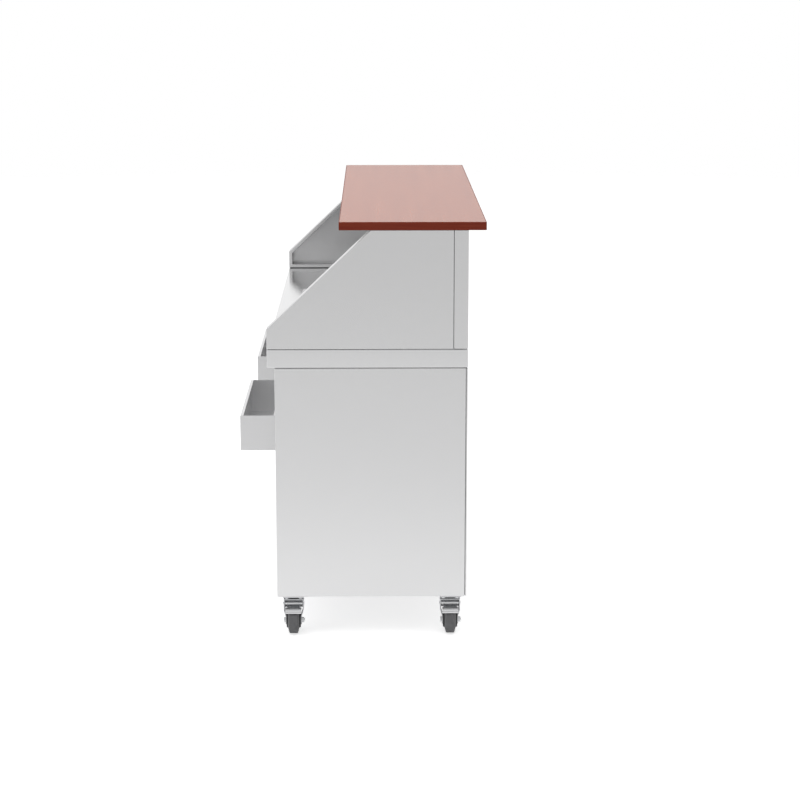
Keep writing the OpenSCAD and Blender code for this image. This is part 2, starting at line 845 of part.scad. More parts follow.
module caster_bolts() {
    grip = plate_thick + deck_sheet;
    color("silver") for (place = caster_places, bolt = bolt_places)
        translate([place[0] + bolt[0], place[1] + bolt[1], z_plate]) {
            translate([0, 0, -bolt_head]) cylinder(d = bolt_head_d, h = bolt_head, $fn = 6);
            cylinder(d = bolt_d, h = grip + bolt_nut);
            translate([0, 0, grip]) cylinder(d = bolt_head_d, h = bolt_nut, $fn = 6);
        }
}

module caster_fork() {
    color("lightsteelblue") difference() {
        union() {
            translate([0, 0, z_crown]) cylinder(d = crown_d, h = fork_sheet);
            intersection() {
                across_y(crown_d) {
                    polygon(leg_outline);
                    translate(axle_at) circle(d = axle_land_d);
                }
                along_x(-crown_d, 2 * crown_d) difference() {
                    polygon(yoke_outline);
                    polygon(inset(yoke_outline, fork_sheet));
                }
            }
        }
        translate([0, 0, z_crown - cut])
            cylinder(d = kingpin_d + 2 * running_fit, h = fork_sheet + 2 * cut);
        bar_y(axle_at, axle_d + 2 * running_fit, 2 * (fork_out + cut));
        bar_y(pin_at, pedal_pin_d + 2 * running_fit, 2 * crown_d);
    }
}

module caster_axle() {
    pin_head_d = pedal_pin_d + axle_tail;
    pin_half = fork_half(pin_at[1] + pin_head_d / 2);
    color("silver") {
        bar_y(axle_at, axle_d, 2 * fork_out);
        translate([axle_at[0], -fork_out, axle_at[1]]) rotate([90, 0, 0])
            cylinder(d = axle_head_d, h = axle_head, $fn = 6);
        translate([axle_at[0], fork_out, axle_at[1]]) rotate([-90, 0, 0]) {
            cylinder(d = axle_head_d, h = axle_nut, $fn = 6);
            cylinder(d = axle_d, h = axle_nut + axle_tail);
        }
        bar_y(pin_at, pedal_pin_d, 2 * pin_half);
        for (side = [-1, 1]) translate([0, side * (pin_half + axle_tail / 2), 0])
            bar_y(pin_at, pin_head_d, axle_tail);
    }
}

// A wheel's section turned about the axle; X is the radius and Y runs along the axle
module turn_wheel() {
    translate([axle_at[0], 0, axle_at[1]]) rotate([90, 0, 0]) rotate_extrude() children();
}

// Hub with a thread guard on each side of the tyre and a cup round each end of the boss
module caster_hub() {
    bore_r = axle_d / 2 + running_fit;
    cup_r = guard_r - guard_bevel - hub_rim;
    guard_in = wheel_w / 2 + hub_space;
    side = [
        [bore_r, hub_half],
        [hub_boss_d / 2, hub_half],
        [hub_boss_d / 2, hub_half - hub_cup],
        [cup_r, hub_half - hub_cup],
        [cup_r, hub_half],
        [guard_r - guard_bevel, hub_half],
        [guard_r, hub_half - guard_bevel],
        [guard_r, guard_in],
        [hub_r, guard_in]
    ];
    mirrored = [for (i = [len(side) - 1:-1:0]) [side[i][0], -side[i][1]]];
    color("dimgray") turn_wheel() polygon(concat(side, mirrored));
}

// Tyre with tapered sides
module caster_tyre() {
    half = wheel_w / 2;
    taper = (half - tread_w / 2) / (wheel_r - tyre_bore_r);
    color("gray") turn_wheel() polygon([
        [tyre_bore_r, -half],
        [wheel_r - tyre_bevel, -tread_w / 2 - tyre_bevel * taper],
        [wheel_r, tyre_bevel - tread_w / 2],
        [wheel_r, tread_w / 2 - tyre_bevel],
        [wheel_r - tyre_bevel, tread_w / 2 + tyre_bevel * taper],
        [tyre_bore_r, half]
    ]);
}

// A ring about the axle, from the pedal's tip to an angle, of a given width
module pedal_sector(angle, width) {
    reach = 2 * pedal_out_r;
    translate([axle_at[0], 0, axle_at[1]]) across_y(width) intersection() {
        difference() {
            circle(pedal_out_r);
            circle(pedal_in_r);
        }
        polygon([
            [0, 0],
            reach * [cos(pedal_tip_angle), sin(pedal_tip_angle)],
            reach * [cos(angle), sin(angle)]
        ]);
    }
}

module brake_pedal() {
    color("lightgray") difference() {
        union() {
            pedal_sector(pedal_pin_angle, 2 * pedal_half_width);
            pedal_sector(pedal_flare_angle, 2 * fork_out);
            bar_y(pedal_lip_at, pedal_lip_d, 2 * fork_out);
            bar_y(pin_at, pedal_eye_d, 2 * pedal_eye_half);
        }
        bar_y(pin_at, pedal_pin_d + 2 * running_fit, 2 * (pedal_eye_half + cut));
    }
}

base_channel_front();
base_channel_rear();
base_deck();
lower_end_panel(-1);  // lower_end_panel_left
lower_end_panel(1);  // lower_end_panel_right
lower_guest_panel();
guest_panel_tape();
partition(-1);  // partition_left
partition(1);  // partition_right
service_apron();
carcass_gasket();
worktop();
worktop_stiffeners();
gantry_gasket();
upper_end_panel(-1);  // upper_end_panel_left
upper_end_panel(1);  // upper_end_panel_right
upper_end_frame(-1);  // upper_end_frame_left
upper_end_frame(1);  // upper_end_frame_right
upper_guest_panel();
bar_top_bearer();
bar_top();
bar_top_edging();
bar_top_screws();
ice_bin();
ice_bin_insulation();
ice_bin_lid();
ice_bin_lid_knob();
drain_fitting();
drain_valve();
drain_valve_lever();
speed_rail(-1);  // speed_rail_left
speed_rail(1);  // speed_rail_right
rail_hangers();
hanger_rivets();
caster_plates();
caster_seals();
caster_bolts();
at_caster(-1, y_caster_front) caster_fork();  // fork_left_front
at_caster(-1, y_caster_rear) caster_fork();  // fork_left_rear
at_caster(1, y_caster_front) caster_fork();  // fork_right_front
at_caster(1, y_caster_rear) caster_fork();  // fork_right_rear
at_caster(-1, y_caster_front) caster_axle();  // axle_left_front
at_caster(-1, y_caster_rear) caster_axle();  // axle_left_rear
at_caster(1, y_caster_front) caster_axle();  // axle_right_front
at_caster(1, y_caster_rear) caster_axle();  // axle_right_rear
at_caster(-1, y_caster_front) caster_hub();  // hub_left_front
at_caster(-1, y_caster_rear) caster_hub();  // hub_left_rear
at_caster(1, y_caster_front) caster_hub();  // hub_right_front
at_caster(1, y_caster_rear) caster_hub();  // hub_right_rear
at_caster(-1, y_caster_front) caster_tyre();  // tyre_left_front
at_caster(-1, y_caster_rear) caster_tyre();  // tyre_left_rear
at_caster(1, y_caster_front) caster_tyre();  // tyre_right_front
at_caster(1, y_caster_rear) caster_tyre();  // tyre_right_rear
at_caster(-1, y_caster_front) brake_pedal();  // brake_pedal_left_front
at_caster(-1, y_caster_rear) brake_pedal();  // brake_pedal_left_rear
at_caster(1, y_caster_front) brake_pedal();  // brake_pedal_right_front
at_caster(1, y_caster_rear) brake_pedal();  // brake_pedal_right_rear
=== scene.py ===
import bmesh
import bpy
from math import cos, pi, radians, sin
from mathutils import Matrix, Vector


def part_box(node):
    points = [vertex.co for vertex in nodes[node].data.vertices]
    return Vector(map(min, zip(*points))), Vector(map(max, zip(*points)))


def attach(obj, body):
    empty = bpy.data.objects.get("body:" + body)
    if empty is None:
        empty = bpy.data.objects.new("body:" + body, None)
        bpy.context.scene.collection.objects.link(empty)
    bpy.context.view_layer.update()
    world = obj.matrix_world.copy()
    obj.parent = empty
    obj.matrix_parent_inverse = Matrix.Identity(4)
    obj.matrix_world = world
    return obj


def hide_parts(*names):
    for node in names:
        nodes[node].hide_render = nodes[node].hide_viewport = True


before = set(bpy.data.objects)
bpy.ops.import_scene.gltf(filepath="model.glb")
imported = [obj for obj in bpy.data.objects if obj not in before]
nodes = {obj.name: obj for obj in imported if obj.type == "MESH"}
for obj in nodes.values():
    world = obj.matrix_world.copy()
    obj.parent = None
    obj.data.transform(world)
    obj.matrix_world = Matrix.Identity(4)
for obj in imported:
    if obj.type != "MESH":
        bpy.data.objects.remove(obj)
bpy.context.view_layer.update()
ends = {"left": -1, "right": 1}
rows = ("front", "rear")

# Material helpers


def newFinish(name, colour, roughness, metallic=0.0):
    finish = bpy.data.materials.new(name)
    finish.use_nodes = True
    shader = finish.node_tree.nodes["Principled BSDF"]
    shader.inputs["Base Color"].default_value = (*colour, 1)
    shader.inputs["Metallic"].default_value = metallic
    shader.inputs["Roughness"].default_value = roughness
    return finish, finish.node_tree, shader


def noiseOver(tree, stretch, detail=3.0, rough=0.55):
    spots = tree.nodes.new("ShaderNodeTexCoord")
    squeeze = tree.nodes.new("ShaderNodeMapping")
    squeeze.inputs["Scale"].default_value = stretch
    noise = tree.nodes.new("ShaderNodeTexNoise")
    noise.inputs["Scale"].default_value = 1.0
    noise.inputs["Detail"].default_value = detail
    noise.inputs["Roughness"].default_value = rough
    tree.links.new(spots.outputs["Object"], squeeze.inputs["Vector"])
    tree.links.new(squeeze.outputs["Vector"], noise.inputs["Vector"])
    return noise.outputs["Fac"]


def ramp(tree, value, stops):
    node = tree.nodes.new("ShaderNodeValToRGB")
    marks = node.color_ramp.elements
    while len(marks) < len(stops):
        marks.new(0.5)  # each mark gets its place below
    for mark, (place, colour) in zip(marks, stops):
        mark.position = place
        mark.color = (*colour, 1)
    tree.links.new(value, node.inputs["Fac"])
    return node.outputs["Color"]


def spread(tree, value, low, high, reach=(0.0, 1.0), smooth=False):
    node = tree.nodes.new("ShaderNodeMapRange")
    node.interpolation_type = "SMOOTHSTEP" if smooth else "LINEAR"
    node.inputs["From Min"].default_value, node.inputs["From Max"].default_value = reach
    node.inputs["To Min"].default_value = low
    node.inputs["To Max"].default_value = high
    tree.links.new(value, node.inputs["Value"])
    return node.outputs["Result"]


def combine(tree, operation, a, b):
    node = tree.nodes.new("ShaderNodeMath")
    node.operation = operation
    tree.links.new(a, node.inputs[0])
    tree.links.new(b, node.inputs[1])
    return node.outputs["Value"]


# Each source is a plain number or the value of another node
def mixBetween(tree, share, a, b):
    node = tree.nodes.new("ShaderNodeMix")
    for name, source in zip(("Factor", "A", "B"), (share, a, b)):
        if isinstance(source, float):
            node.inputs[name].default_value = source
        else:
            tree.links.new(source, node.inputs[name])
    return node.outputs["Result"]


def bump(tree, shader, value, strength, distance):
    node = tree.nodes.new("ShaderNodeBump")
    node.inputs["Strength"].default_value = strength
    node.inputs["Distance"].default_value = distance
    tree.links.new(value, node.inputs["Height"])
    tree.links.new(node.outputs["Normal"], shader.inputs["Normal"])


# Finishes

toneStops = {"steel": (0.25, 0.75), "wood": (0.32, 0.5, 0.68), "moulded": (0.3, 0.7)}  # levels of the noise


def driftTones(tree, shader, value, look, stops):
    shades = [[min(1, c * (1 + way * look["drift"])) for c in look["colour"]] for way in (-1, 1)]
    tree.links.new(ramp(tree, value, list(zip(stops, shades))), shader.inputs["Base Color"])


def patchyRoughness(tree, shader, value, look):
    low, high = look["roughness"] - look["patchy"], look["roughness"] + look["patchy"]
    tree.links.new(spread(tree, value, low, high), shader.inputs["Roughness"])


def brushedSteel(name, look):
    finish, tree, shader = newFinish(name, look["colour"], look["roughness"], look.get("metal", 1.0))
    grain = noiseOver(tree, look["grain"])
    clouds = noiseOver(tree, look["clouds"], detail=2.0)
    driftTones(tree, shader, grain, look, toneStops["steel"])
    patchyRoughness(tree, shader, clouds, look)
    bump(tree, shader, grain, look["bump"], look["depth"])
    return finish


panelLook = {  # satin sheet, brushed along the horizontal
    "colour": (0.77, 0.77, 0.774), "roughness": 0.26, "drift": 0.02, "patchy": 0.015,
    "grain": (14, 14, 1800), "clouds": (5, 5, 9), "bump": 0.02, "depth": 0.0002,
}
worktopLook = {  # brighter sheet, brushed along the bar
    "colour": (0.78, 0.78, 0.785), "roughness": 0.14, "drift": 0.02, "patchy": 0.02,
    "grain": (10, 2200, 40), "clouds": (5, 7, 5), "bump": 0.02, "depth": 0.0002,
}
troughLook = {  # more matt satin of the rails, the well and the inner side of the upper end panels
    "colour": (0.78, 0.78, 0.785), "metal": 0.68, "roughness": 0.3, "drift": 0.02, "patchy": 0.02,
    "grain": (14, 14, 1800), "clouds": (5, 5, 9), "bump": 0.02, "depth": 0.0002,
}
innerLook = {  # matt galvanised finish for the hidden sheet
    "colour": (0.62, 0.62, 0.63), "metal": 0.45, "roughness": 0.44, "drift": 0.04, "patchy": 0.04,
    "grain": (20, 160, 160), "clouds": (8, 8, 8), "bump": 0.04, "depth": 0.0002,
}
zincLook = {  # zinc plated pressings of the casters
    "colour": (0.60, 0.605, 0.62), "roughness": 0.4, "drift": 0.07, "patchy": 0.06,
    "grain": (210, 210, 210), "clouds": (60, 60, 60), "bump": 0.06, "depth": 0.0002,
}
pedalLitLook = {  # the caster zinc made lighter on the brake pedals, a painted highlight for the bright band of light they catch
    "colour": (0.86, 0.865, 0.875), "roughness": 0.34, "drift": 0.04, "patchy": 0.05,
    "grain": (210, 210, 210), "clouds": (60, 60, 60), "bump": 0.05, "depth": 0.0002,
}
fastenerLook = {  # bright zinc on bolts and rivets
    "colour": (0.72, 0.73, 0.74), "roughness": 0.22, "drift": 0.05, "patchy": 0.05,
    "grain": (320, 320, 320), "clouds": (90, 90, 90), "bump": 0.04, "depth": 0.0001,
}
brassLook = {
    "colour": (0.68, 0.47, 0.19), "roughness": 0.3, "drift": 0.08, "patchy": 0.06,
    "grain": (120, 120, 900), "clouds": (40, 40, 40), "bump": 0.05, "depth": 0.0002,
}


def woodFinish(name, look):
    finish, tree, shader = newFinish(name, look["tones"][1], look["roughness"])
    bands = noiseOver(tree, look["bands"], detail=4.0)
    fibres = noiseOver(tree, look["fibres"], detail=5.0, rough=0.7)
    grain = mixBetween(tree, look["fibreShare"], bands, fibres)
    stops = list(zip(toneStops["wood"], look["tones"]))
    tree.links.new(ramp(tree, grain, stops), shader.inputs["Base Color"])
    patchyRoughness(tree, shader, fibres, look)
    shader.inputs["Specular IOR Level"].default_value = look["gloss"]
    bump(tree, shader, fibres, look["bump"], look["depth"])
    return finish


laminateLook = {  # red-brown wood print under a satin coat, grain along the bar
    "tones": [(0.34, 0.076, 0.028), (0.38, 0.092, 0.035), (0.42, 0.110, 0.044)],
    "roughness": 0.26, "patchy": 0.02, "gloss": 0.52, "fibreShare": 0.3,
    "bands": (1.6, 34, 34), "fibres": (9, 620, 620), "bump": 0.05, "depth": 0.0002,
}
bandingLook = {  # darker matching edge strip
    "tones": [(0.17, 0.022, 0.012), (0.22, 0.034, 0.017), (0.27, 0.052, 0.026)],
    "roughness": 0.42, "patchy": 0.03, "gloss": 0.12, "fibreShare": 0.45,
    "bands": (5, 5, 260), "fibres": (22, 22, 1500), "bump": 0.05, "depth": 0.0002,
}


def mouldedFinish(name, look):
    finish, tree, shader = newFinish(name, look["colour"], look["roughness"])
    grit = noiseOver(tree, (look["grit"],) * 3)
    dust = noiseOver(tree, (look["dust"],) * 3, detail=2.0)
    driftTones(tree, shader, dust, look, toneStops["moulded"])
    patchyRoughness(tree, shader, dust, look)
    bump(tree, shader, grit, look["bump"], look["depth"])
    return finish


mouldedLooks = {
    "sealingStrip": {"colour": (0.3, 0.3, 0.305), "roughness": 0.6, "drift": 0.08, "patchy": 0.06,
                     "grit": 900, "dust": 30, "bump": 0.1, "depth": 0.0002},
    "sealingRubber": {"colour": (0.05, 0.05, 0.052), "roughness": 0.7, "drift": 0.2, "patchy": 0.06,
                      "grit": 900, "dust": 30, "bump": 0.1, "depth": 0.0002},
    "backingPaper": {"colour": (0.5, 0.5, 0.5), "roughness": 0.55, "drift": 0.06, "patchy": 0.05,
                     "grit": 600, "dust": 18, "bump": 0.08, "depth": 0.0002},
    "insulationFoam": {"colour": (0.78, 0.66, 0.38), "roughness": 0.9, "drift": 0.08, "patchy": 0.05,
                       "grit": 700, "dust": 25, "bump": 0.5, "depth": 0.0006},
    "leverRed": {"colour": (0.42, 0.025, 0.02), "roughness": 0.32, "drift": 0.08, "patchy": 0.05,
                 "grit": 500, "dust": 60, "bump": 0.08, "depth": 0.0002},
    "knobBlack": {"colour": (0.018, 0.018, 0.019), "roughness": 0.38, "drift": 0.2, "patchy": 0.05,
                  "grit": 1400, "dust": 80, "bump": 0.1, "depth": 0.0001},
    "hubPlastic": {"colour": (0.028, 0.028, 0.03), "roughness": 0.5, "drift": 0.12, "patchy": 0.06,
                   "grit": 1200, "dust": 70, "bump": 0.1, "depth": 0.0001},
    "tyreRubber": {"colour": (0.16, 0.16, 0.165), "roughness": 0.62, "drift": 0.15, "patchy": 0.08,
                   "grit": 1000, "dust": 50, "bump": 0.12, "depth": 0.0002},
}

stainlessPanel = brushedSteel("stainlessPanel", panelLook)
stainlessWorktop = brushedSteel("stainlessWorktop", worktopLook)
stainlessTrough = brushedSteel("stainlessTrough", troughLook)
innerSheet = brushedSteel("innerSheet", innerLook)
zincPlate = brushedSteel("zincPlate", zincLook)
# a lighter copy of the caster zinc for the pedals: painted highlight
pedalLitZinc = brushedSteel("pedalLitZinc", pedalLitLook)
brightFasteners = brushedSteel("brightFasteners", fastenerLook)
valveBrass = brushedSteel("valveBrass", brassLook)
barLaminate = woodFinish("barLaminate", laminateLook)
barBanding = woodFinish("barBanding", bandingLook)
moulded = {name: mouldedFinish(name, look) for name, look in mouldedLooks.items()}
print("finishes made:", len(bpy.data.materials))

# Mesh helpers


def addPiece(name, shape, body, finish, replaced=()):
    mesh = bpy.data.meshes.new(name)
    for face in shape.faces:
        face.smooth = True
    shape.to_mesh(mesh)
    shape.free()
    mesh.materials.append(finish)
    piece = bpy.data.objects.new(name, mesh)
    bpy.context.scene.collection.objects.link(piece)
    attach(piece, body)
    if replaced:
        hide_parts(*replaced)
    return piece


def softenEdges(piece, width, steps=2, angle=40):
    soft = piece.modifiers.new("soften", "BEVEL")
    soft.width = width
    soft.segments = steps
    soft.limit_method = "ANGLE"
    soft.angle_limit = radians(angle)
    piece.modifiers.new("shade", "WEIGHTED_NORMAL")


samePlace = {"digits": 6, "reach": 1e-6}  # points this close, in metres, are one


def shapeFrom(loops):
    shape, corners = bmesh.new(), {}
    for loop in loops:
        ring = []
        for spot in loop:
            key = tuple(round(c, samePlace["digits"]) for c in spot)
            if key not in corners:
                corners[key] = shape.verts.new(spot)
            ring.append(corners[key])
        shape.faces.new(ring)
    shape.normal_update()
    return shape


def faceOutward(shape, core):
    for face in shape.faces:
        if face.normal.dot(face.calc_center_median() - core) < 0:
            face.normal_flip()


sheetStack = {"foldSteps": 3, "foldAngle": 20, "cutEdge": 0.0002, "cutSteps": 1, "cutAngle": 50}


# An open shell of flat faces becomes folded sheet: round folds, thickness, eased cut edges
def foldSheet(piece, sheet, bend, lining=None):
    fold = piece.modifiers.new("fold", "BEVEL")
    fold.width = bend
    fold.segments = sheetStack["foldSteps"]
    fold.limit_method = "ANGLE"
    fold.angle_limit = radians(sheetStack["foldAngle"])
    skin = piece.modifiers.new("sheet", "SOLIDIFY")
    skin.thickness = sheet
    skin.offset = -1
    skin.use_even_offset = True
    skin.use_quality_normals = True
    if lining:  # another finish on the hollow side
        piece.data.materials.append(lining)
        skin.material_offset = 1
    softenEdges(piece, sheetStack["cutEdge"], sheetStack["cutSteps"], sheetStack["cutAngle"])


def boxOver(names):
    boxes = [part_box(name) for name in names]
    return (Vector([min(low[i] for low, high in boxes) for i in range(3)]),
            Vector([max(high[i] for low, high in boxes) for i in range(3)]))


boxFaces = {"left": (0, False), "right": (0, True), "front": (1, False), "rear": (1, True),
            "bottom": (2, False), "top": (2, True)}  # axis, and whether the face is at its high end


# Corners of one face of a box: sides run bottom, high, top, low (front, high, rear, low on a level face)
def boxFace(low, high, face):
    axis, atHigh = boxFaces[face]
    flat = [i for i in range(3) if i != axis]
    level = high[axis] if atHigh else low[axis]
    loop = []
    for pick in ((0, 0), (1, 0), (1, 1), (0, 1)):
        spot = Vector((0, 0, 0))
        spot[axis] = level
        for i, far in zip(flat, pick):
            spot[i] = high[i] if far else low[i]
        loop.append(spot)
    return loop


# An outline drawn inwards by a width
def insetLoop(loop, width):
    middle = sum(loop, Vector()) / len(loop)
    normal = (loop[1] - loop[0]).cross(loop[2] - loop[1]).normalized()
    drawn = []
    for i, spot in enumerate(loop):
        inward = []
        for a, b in ((loop[i - 1], spot), (spot, loop[(i + 1) % len(loop)])):
            across = normal.cross(b - a).normalized()
            inward.append(across if across.dot(middle - a) > 0 else -across)
        drawn.append(spot + (inward[0] + inward[1]) * width / (1 + inward[0].dot(inward[1])))
    return drawn


foldSides = {"pair": (0, 2), "openFirst": (1, 2, 3)}  # sides of a face that are folded back, when not all


# The flat faces of a tray: its skin, the folded sides and a lip that returns inwards from each of them
def trayLoops(outline, depth, lip=0.0, sides=None, skin=True):
    count = len(outline)
    sides = range(count) if sides is None else sides
    loops = [outline] if skin else []
    inner = insetLoop(outline, lip) if lip else None
    for i in sides:
        j = (i + 1) % count
        loops.append([outline[i], outline[j], outline[j] + depth, outline[i] + depth])
        if lip:
            loops.append([outline[i] + depth, outline[j] + depth, inner[j] + depth, inner[i] + depth])
    return loops


# The middle of a tray's hollow, which tells its outer side
def trayCore(outline, depth):
    return sum(outline, Vector()) / len(outline) + depth / 2


def foldedTray(name, replaced, body, finish, look, outline, depth, sides=None):
    shape = shapeFrom(trayLoops(outline, depth, look.get("lip", 0.0), sides))
    faceOutward(shape, trayCore(outline, depth))
    piece = addPiece(name, shape, body, finish, replaced)
    foldSheet(piece, look["sheet"], look["bend"], look.get("lining"))


# The faces of a strip between two edges with the same number of points
def stripLoops(edgeA, edgeB):
    return [[edgeA[i], edgeA[i + 1], edgeB[i + 1], edgeB[i]] for i in range(len(edgeA) - 1)]


# A rounded rectangle about a centre, counter-clockwise, at one level
def roundedLoop(centre, halfX, halfY, radius, level, steps=8):
    loop = []
    for quarter, (sx, sy) in enumerate(((1, 1), (-1, 1), (-1, -1), (1, -1))):
        for step in range(steps + 1):
            turn = pi / 2 * (quarter + step / steps)
            loop.append(Vector((
                centre[0] + sx * (halfX - radius) + radius * cos(turn),
                centre[1] + sy * (halfY - radius) + radius * sin(turn),
                level,
            )))
    return loop


# Rings with the same number of points become a skin; closed joins the last ring to the first
def loftRings(rings, closed=False):
    loops = []
    count = len(rings[0])
    last = len(rings) if closed else len(rings) - 1
    for r in range(last):
        a, b = rings[r], rings[(r + 1) % len(rings)]
        for i in range(count):
            j = (i + 1) % count
            loop = []
            for spot in (a[i], a[j], b[j], b[i]):
                if all((spot - other).length > samePlace["reach"] for other in loop):
                    loop.append(spot)
            if len(loop) > 2:
                loops.append(loop)
    return loops


# A profile of (radius, place along the axis) turned about an axis
def turned(profile, centre, axis, steps):
    axis = Vector(axis).normalized()
    across = axis.orthogonal().normalized()
    beside = axis.cross(across)
    rings = []
    for radius, along in profile:
        ring = []
        for i in range(steps):
            turn = 2 * pi * i / steps
            ring.append(centre + axis * along + (across * cos(turn) + beside * sin(turn)) * radius)
        rings.append(ring)
    shape = shapeFrom(loftRings(rings))
    bmesh.ops.recalc_face_normals(shape, faces=shape.faces)
    return shape


nodeStack = {"weld": 0.00001, "flatAngle": 0.5}
nodeEdges = {"usual": 0.0004, "strip": 0.0002, "fastener": 0.0005, "pressing": 0.0006, "casting": 0.0008,
             "foam": 0.001}


# A CAD part keeps its shape: its facets are joined, its edges eased
def dressNode(name, finish, edge="usual"):
    node = nodes[name]
    for place in node.material_slots:
        place.material = finish
    weld = node.modifiers.new("weld", "WELD")
    weld.merge_threshold = nodeStack["weld"]
    flat = node.modifiers.new("flat", "DECIMATE")
    flat.decimate_type = "DISSOLVE"
    flat.angle_limit = radians(nodeStack["flatAngle"])
    softenEdges(node, nodeEdges[edge])


# Lower panels

lowerEnd = {"sheet": 0.0012, "bend": 0.002}
for end, side in ends.items():
    low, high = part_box(f"lower_end_panel_{end}")
    outline = boxFace(low, high, end)
    depth = Vector((-side * (high.x - low.x), 0, 0))
    foldedTray(f"lowerEndPanel_{end}", (f"lower_end_panel_{end}",), "root",
               stainlessPanel, lowerEnd, outline, depth, sides=foldSides["openFirst"])

lowerGuest = {"sheet": 0.0012, "bend": 0.0015, "edge": 0.0035, "lip": 0.012}
apronLow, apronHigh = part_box("service_apron")
low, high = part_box("lower_guest_panel")
outline = boxFace(low, high, "rear")
depth = Vector((0, -lowerGuest["edge"], 0))
loops = trayLoops(outline, depth, lowerGuest["lip"])
shelfHigh = Vector((apronHigh.x, high.y, high.z)) + depth
shelf = boxFace(Vector((apronLow.x, low.y, low.z)), shelfHigh, "top")
shape = shapeFrom(loops + [shelf])  # the shelf ties the panel's top to the carcass
faceOutward(shape, trayCore(outline, depth))
piece = addPiece("lowerGuestPanel", shape, "root", stainlessPanel,
                 ("lower_guest_panel",))
foldSheet(piece, lowerGuest["sheet"], lowerGuest["bend"])

apron = {"sheet": 0.0012, "bend": 0.002}
foldedTray("serviceApron", ("service_apron",), "root", stainlessPanel, apron,
           boxFace(apronLow, apronHigh, "front"), Vector((0, apronHigh.y - apronLow.y, 0)))
print("lower panels folded")

# Base and partitions

baseDeck = {"sheet": 0.0015, "bend": 0.002}
low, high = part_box("base_deck")
foldedTray("baseDeck", ("base_deck",), "root", innerSheet, baseDeck,
           boxFace(low, high, "top"), Vector((0, 0, low.z - high.z)), sides=foldSides["pair"])

partition = {"sheet": 0.0012, "bend": 0.002}
for end, side in ends.items():
    low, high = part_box(f"partition_{end}")
    outline = boxFace(low, high, "right" if end == "left" else "left")  # the side towards the middle
    depth = Vector((side * (high.x - low.x), 0, 0))
    foldedTray(f"partition_{end}_sheet", (f"partition_{end}",), "root", innerSheet,
               partition, outline, depth, sides=foldSides["pair"])
for name in ("base_channel_front", "base_channel_rear", "worktop_stiffeners", "rail_hangers"):
    dressNode(name, innerSheet)
print("base and partitions made")

# Worktop with the cut-out for the ice well

worktop = {"sheet": 0.0015, "bend": 0.0025, "lip": 0.014, "border": 0.02}
iceWell = {"sheet": 0.0012, "flange": 0.015, "corner": 0.020, "rim": 0.004, "cove": 0.012, "coveSteps": 8,
           "drainRadius": 0.0153, "ease": 0.0004, "gap": 0.0003}
binLow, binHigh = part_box("ice_bin")
wellCentre = (binLow + binHigh) / 2
wellHalf = (binHigh - binLow) / 2 - Vector((1, 1, 0)) * (iceWell["flange"] + iceWell["sheet"])


def wellLoop(margin, level):
    radius = max(iceWell["corner"] + margin, iceWell["ease"])
    return roundedLoop(wellCentre, wellHalf.x + margin, wellHalf.y + margin, radius, level)


low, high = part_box("worktop")
outline = boxFace(low, high, "top")
depth = Vector((0, 0, low.z - high.z))
border = insetLoop(outline, worktop["border"])
loops = trayLoops(outline, depth, worktop["lip"], skin=False)
loops += stripLoops(outline + outline[:1], border + border[:1])
shape = shapeFrom(loops)
cutOut = [shape.verts.new(spot) for spot in wellLoop(iceWell["sheet"] + iceWell["gap"], high.z)]
rim = [shape.edges.new((cutOut[i - 1], cutOut[i])) for i in range(len(cutOut))]
inside = [e for e in shape.edges
          if len(e.link_faces) == 1 and all(abs(v.co.z - high.z) < samePlace["reach"] for v in e.verts)]
bmesh.ops.triangle_fill(shape, use_beauty=True, use_dissolve=False, edges=rim + inside)
shape.normal_update()
faceOutward(shape, trayCore(outline, depth))
piece = addPiece("worktopSheet", shape, "root", stainlessWorktop, ("worktop",))
foldSheet(piece, worktop["sheet"], worktop["bend"])

# Ice well: one closed section swept round the well, from the flange over the rim to the drain
sheet, ease, cove = iceWell["sheet"], iceWell["ease"], iceWell["cove"]
flangeLevel = binHigh.z - iceWell["rim"]
floorLevel = binLow.z + sheet
section = [
    (sheet + ease, flangeLevel), (sheet + iceWell["flange"], flangeLevel),
    (sheet + iceWell["flange"], flangeLevel + sheet - ease),
    (sheet + iceWell["flange"] - ease, flangeLevel + sheet),
    (sheet + ease, flangeLevel + sheet), (sheet, flangeLevel + sheet + ease),
    (sheet, binHigh.z - ease), (sheet - ease, binHigh.z), (ease, binHigh.z), (0, binHigh.z - ease),
]
coveTurns = [pi / 2 * step / iceWell["coveSteps"] for step in range(iceWell["coveSteps"] + 1)]


# A spot on the rounding between wall and floor, or on its underside
def coveSpot(turn, outset):
    swing = cove + outset
    return swing * cos(turn) - cove, floorLevel + cove - swing * sin(turn)


section += [coveSpot(turn, 0) for turn in coveTurns]
rings = [wellLoop(margin, level) for margin, level in section]
radius = iceWell["drainRadius"]
for level in (floorLevel, floorLevel - sheet):
    rings.append(roundedLoop(wellCentre, radius, radius, radius, level))
rings += [wellLoop(*coveSpot(turn, sheet)) for turn in reversed(coveTurns)]
rings.append(wellLoop(sheet, flangeLevel - ease))
shape = shapeFrom(loftRings(rings, closed=True))
bmesh.ops.remove_doubles(shape, verts=shape.verts, dist=samePlace["reach"])
bmesh.ops.recalc_face_normals(shape, faces=shape.faces)
piece = addPiece("iceBin", shape, "root", stainlessTrough, ("ice_bin",))
piece.modifiers.new("shade", "WEIGHTED_NORMAL")

iceLid = {"sheet": 0.0012, "bend": 0.0016}
low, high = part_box("ice_bin_lid")
foldedTray("iceBinLid", ("ice_bin_lid",), "ice_lid", stainlessPanel, iceLid,
           boxFace(low, high, "top"), Vector((0, 0, low.z - high.z)), sides=foldSides["pair"])

